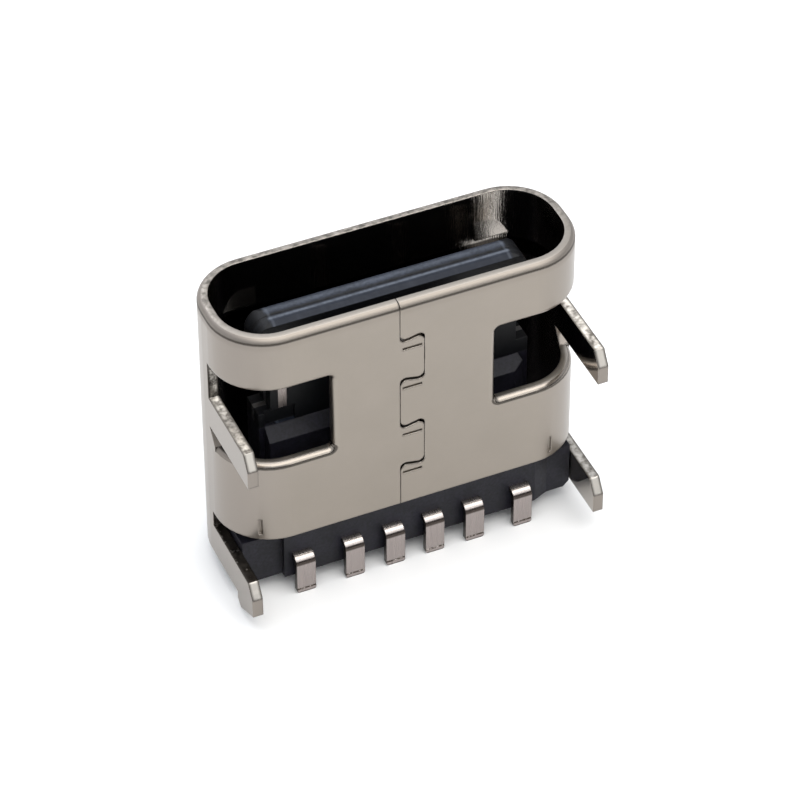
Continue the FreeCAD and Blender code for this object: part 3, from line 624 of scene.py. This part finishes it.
class SOCKET_OT_contacts(bpy.types.Operator):
    """Gives the six contacts their plated finish"""
    bl_idname = "socket.contacts"
    bl_label = "Finish the contacts"

    def execute(self, context):
        material = plated_strip(context.scene.socket_contacts)
        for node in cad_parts:
            if node.startswith("contact"):
                dress(node, material)
        return {"FINISHED"}


class SOCKET_OT_mouldings(bpy.types.Operator):
    """Gives the housing and the two tongue halves their moulded finish"""
    bl_idname = "socket.mouldings"
    bl_label = "Finish the mouldings"

    def execute(self, context):
        finish = context.scene.socket_plastic
        dress("housing", polymer(
            "moulded_black_polymer", finish.body, finish.body_shade, finish, gate_mark))
        # The tongue's lighter colours are painted light on its upward end.
        tongue = polymer(
            "moulded_tongue_polymer", finish.tongue, finish.tongue_shade, finish, tongue_marks)
        dress("tongue_upper_half", tongue)
        dress("tongue_lower_half", tongue)
        return {"FINISHED"}


class SOCKET_OT_plate(bpy.types.Operator):
    """Gives the middle plate its bare steel"""
    bl_idname = "socket.plate"
    bl_label = "Finish the middle plate"

    def execute(self, context):
        dress("middle_plate", bare_steel())
        return {"FINISHED"}


def soft_light(name, way, size, power, colour):
    """A square area light along a direction from the socket, facing it."""
    lamp = bpy.data.lights.new(name, "AREA")
    lamp.size = size
    lamp.energy = power
    lamp.color = linear(colour)[:3]
    light = bpy.data.objects.new(name, lamp)
    way = Vector(way).normalized()
    spot = Vector((0, 0, FLOOR_Z / 2)) + way * LIGHT_DISTANCE
    turn = way.to_track_quat("Z", "Y").to_matrix().to_4x4()
    light.matrix_world = Matrix.Translation(spot) @ turn
    bpy.context.scene.collection.objects.link(light)


def white_tent(look):
    """A white tent whose open front, on the camera's side, is dark near the horizon.

    The tent's brightness rises from the horizon to the top. The open front is where the
    way out looks towards -Y and its height is below the opening's.
    """
    world = bpy.data.worlds.new("white_tent")
    world.use_nodes = True
    tree = world.node_tree
    background = tree.nodes["Background"]
    way = add(tree, "ShaderNodeTexCoord", out="Generated")
    _, way_y, way_z = add(tree, SPLIT, {0: way}).node.outputs
    rise = add(tree, RANGE, {0: way_z, 3: look.dome, 4: look.top})
    front = add(tree, RANGE, {0: way_y, 1: FRONT_Y[0], 2: FRONT_Y[1]})
    low = add(tree, RANGE, {0: way_z, 1: look.opening + look.opening_blur, 2: look.opening})
    gap = add(tree, MATH, {0: front, 1: low}, operation="MULTIPLY")
    strength = add(tree, MIX, {0: gap, 2: rise, 3: look.dark})
    background.inputs["Color"].default_value = in_light(look.tent_colour)
    tree.links.new(strength, background.inputs["Strength"])
    return world


class SOCKET_OT_stage(bpy.types.Operator):
    """Makes the plain floor, the soft lights and the camera"""
    bl_idname = "socket.stage"
    bl_label = "Make the stage"

    def execute(self, context):
        look = context.scene.socket_stage
        half = look.floor_size / 2
        corners = [(x, y, FLOOR_Z) for x, y in (
            (-half, -half), (half, -half), (half, half), (-half, half))]
        mesh = bpy.data.meshes.new("floor")
        mesh.from_pydata(corners, [], [(0, 1, 2, 3)])
        floor = bpy.data.objects.new("floor", mesh)
        context.scene.collection.objects.link(floor)
        material, tree, _ = new_material("matt_white_board")
        board = add(tree, "ShaderNodeBsdfPrincipled", {
            "Base Color": in_light(look.floor_colour), "Roughness": look.floor_rough})
        add(tree, "ShaderNodeOutputMaterial", {"Surface": board})
        mesh.materials.append(material)

        context.scene.world = white_tent(look)
        for name, way, size, colour in LIGHTS:
            soft_light(name, way, size, getattr(look, name), colour)

        # The camera's axes: back from the socket, right, and up, then turned by the roll.
        a, e, r = look.azimuth, look.elevation, look.roll
        back = Vector((math.sin(a) * math.cos(e), -math.cos(a) * math.cos(e), math.sin(e)))
        level = Vector((math.cos(a), math.sin(a), 0))
        up = back.cross(level)
        right = math.cos(r) * level + math.sin(r) * up
        above = -math.sin(r) * level + math.cos(r) * up
        aim = AIM_RIGHT * right + AIM_UP * above + Vector((0, BOARD_FACE_Y, 0))
        lens = bpy.data.cameras.new("photo_view")
        lens.sensor_width = SENSOR_WIDTH
        lens.lens = look.lens
        lens.clip_start = 0.01
        lens.clip_end = 10
        camera = bpy.data.objects.new("photo_view", lens)
        turn = Matrix((right, above, back)).transposed().to_4x4()
        camera.matrix_world = Matrix.Translation(aim + back * look.distance) @ turn
        context.scene.collection.objects.link(camera)
        context.scene.camera = camera
        context.scene.view_settings.view_transform = "Standard"
        return {"FINISHED"}


STEPS = (
    SOCKET_OT_stage, SOCKET_OT_shell, SOCKET_OT_mouldings, SOCKET_OT_plate, SOCKET_OT_contacts)


class VIEW3D_PT_socket(bpy.types.Panel):
    """The socket's finishes, in the sidebar of the 3D view"""
    bl_label = "Board socket"
    bl_space_type = "VIEW_3D"
    bl_region_type = "UI"
    bl_category = "Socket"

    def draw(self, context):
        for name, group in GROUPS:
            for key in group.__annotations__:
                self.layout.prop(getattr(context.scene, name), key)
        for step in STEPS:
            self.layout.operator(step.bl_idname)


CLASSES = tuple(group for _, group in GROUPS) + STEPS + (VIEW3D_PT_socket,)


def register():
    for each in CLASSES:
        bpy.utils.register_class(each)
    for name, group in GROUPS:
        setattr(bpy.types.Scene, name, PointerProperty(type=group))


def unregister():
    for name, _ in GROUPS:
        delattr(bpy.types.Scene, name)
    for each in reversed(CLASSES):
        bpy.utils.unregister_class(each)


def main():
    register()
    for step in STEPS:
        group, name = step.bl_idname.split(".")
        getattr(getattr(bpy.ops, group), name)()


if __name__ == "__main__":
    main()
